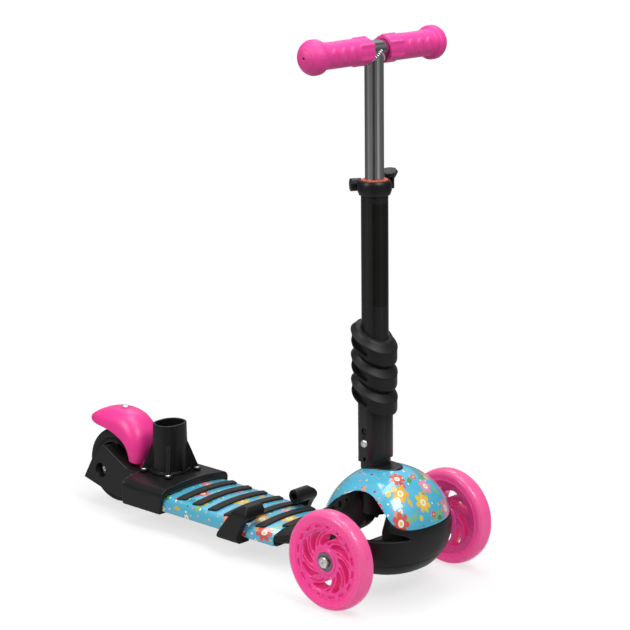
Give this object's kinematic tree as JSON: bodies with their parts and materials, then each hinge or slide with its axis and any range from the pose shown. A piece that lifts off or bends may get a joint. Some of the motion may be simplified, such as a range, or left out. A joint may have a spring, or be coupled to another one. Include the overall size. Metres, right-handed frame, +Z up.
{
  "type": "three wheel kids scooter",
  "caption": "Child's kick scooter: light-up front wheels on a domed printed fork, printed deck with rubber strips, braked rear wheel, seat post socket and height-adjustable T handlebar.",
  "frame": {"origin": "centre of the bounding box on the ground the wheels stand on", "axes": "+X forward, +Y to the rider's left, +Z up along the steering column"},
  "size_m": [0.5878, 0.2436, 0.6529],
  "materials": {
    "pink_plastic": "satin moulded pink",
    "clear_pink_tyre": "smooth see-through polyurethane",
    "clear_plastic": "clear",
    "black_plastic": "fine grained moulding",
    "black_painted_metal": "satin powder coat",
    "black_rubber": "matt",
    "rear_tyre": "matt black polyurethane",
    "printed_plastic": "gloss blue with a printed flower pattern",
    "chrome_bar": "polished",
    "orange_plastic": "satin",
    "zinc_steel": "zinc plated"
  },
  "bodies": {
    "deck": {"deck_shell": "printed_plastic", "deck_frame": "black_plastic", "grip_strip_1": "black_rubber", "grip_strip_2": "black_rubber", "grip_strip_3": "black_rubber", "grip_strip_4": "black_rubber", "grip_strip_5": "black_rubber", "grip_strip_6": "black_rubber", "grip_strip_7": "black_rubber", "grip_strip_8": "black_rubber", "seat_clip_right": "black_plastic", "seat_clip_left": "black_plastic", "rear_housing": "black_plastic", "seat_socket": "black_plastic", "rear_axle_bolt": "zinc_steel", "rear_axle_nut": "zinc_steel", "fender_pin": "zinc_steel", "fender_spring": "zinc_steel", "steering_bush_upper": "black_plastic", "steering_bush_lower": "black_plastic"},
    "fork": {"front_fork": "black_plastic", "dome_cover": "printed_plastic", "belly_pan": "black_plastic", "column_socket": "black_painted_metal", "steering_bolt": "zinc_steel", "steering_nut": "zinc_steel", "front_axle": "zinc_steel", "axle_bolt_right": "zinc_steel", "axle_bolt_left": "zinc_steel", "outer_tube": "black_painted_metal", "lower_sleeve": "black_painted_metal", "spiral_sleeve": "black_rubber", "reducing_bush": "orange_plastic", "clamp_collar": "black_plastic", "clamp_bolt": "zinc_steel", "clamp_nut": "black_plastic"},
    "wheel_right": {"front_core_right": "pink_plastic", "front_tyre_right": "clear_pink_tyre", "light_module_right_1": "clear_plastic", "light_module_right_2": "clear_plastic", "light_module_right_3": "clear_plastic", "front_bearings_right": "zinc_steel"},
    "wheel_left": {"front_core_left": "pink_plastic", "front_tyre_left": "clear_pink_tyre", "light_module_left_1": "clear_plastic", "light_module_left_2": "clear_plastic", "light_module_left_3": "clear_plastic", "front_bearings_left": "zinc_steel"},
    "rear_wheel": {"rear_core": "black_plastic", "rear_tyre": "rear_tyre", "rear_bearings": "zinc_steel"},
    "handlebar": {"t_bar": "chrome_bar", "stem_guide": "black_plastic", "grip_right": "pink_plastic", "grip_left": "pink_plastic"},
    "lever": {"clamp_lever": "black_plastic"},
    "button": {"snap_button": "zinc_steel"},
    "fender": {"fender_brake": "pink_plastic", "brake_pad": "black_rubber", "brake_screw": "zinc_steel"}
  },
  "joints": [
    {"name": "steering", "type": "hinge", "parent": "deck", "child": "fork", "pos_m": [0.20511, 0, 0.11], "axis": [-0.014, 0, 0.9999], "range_deg": [-30, 30]},
    {"name": "wheel_right_spin", "type": "hinge", "parent": "fork", "child": "wheel_right", "pos_m": [0.23085, -0.1075, 0.06], "axis": [0, 1, 0], "continuous": true},
    {"name": "wheel_left_spin", "type": "hinge", "parent": "fork", "child": "wheel_left", "pos_m": [0.23085, 0.1075, 0.06], "axis": [0, 1, 0], "continuous": true},
    {"name": "rear_wheel_spin", "type": "hinge", "parent": "deck", "child": "rear_wheel", "pos_m": [-0.24115, 0, 0.05], "axis": [0, 1, 0], "continuous": true},
    {"name": "handlebar_height", "type": "slide", "parent": "fork", "child": "handlebar", "axis": [-0.014, 0, 0.9999], "range_m": [-0.12, 0.06]},
    {"name": "clamp_lever_swing", "type": "hinge", "parent": "fork", "child": "lever", "pos_m": [0.19448, 0.0322, 0.47538], "axis": [0.014, 0, -0.9999], "range_deg": [0, 90]},
    {"name": "snap_button_press", "type": "slide", "parent": "fork", "child": "button", "axis": [0, 1, 0], "range_m": [0, 0.0025], "stiffness_N_per_m": 800},
    {"name": "fender_brake_press", "type": "hinge", "parent": "deck", "child": "fender", "pos_m": [-0.18215, 0, 0.054], "axis": [0, -1, 0], "range_deg": [0, 4.5], "stiffness_Nm_per_rad": 0.5, "springref_deg": -11.46}
  ]
}
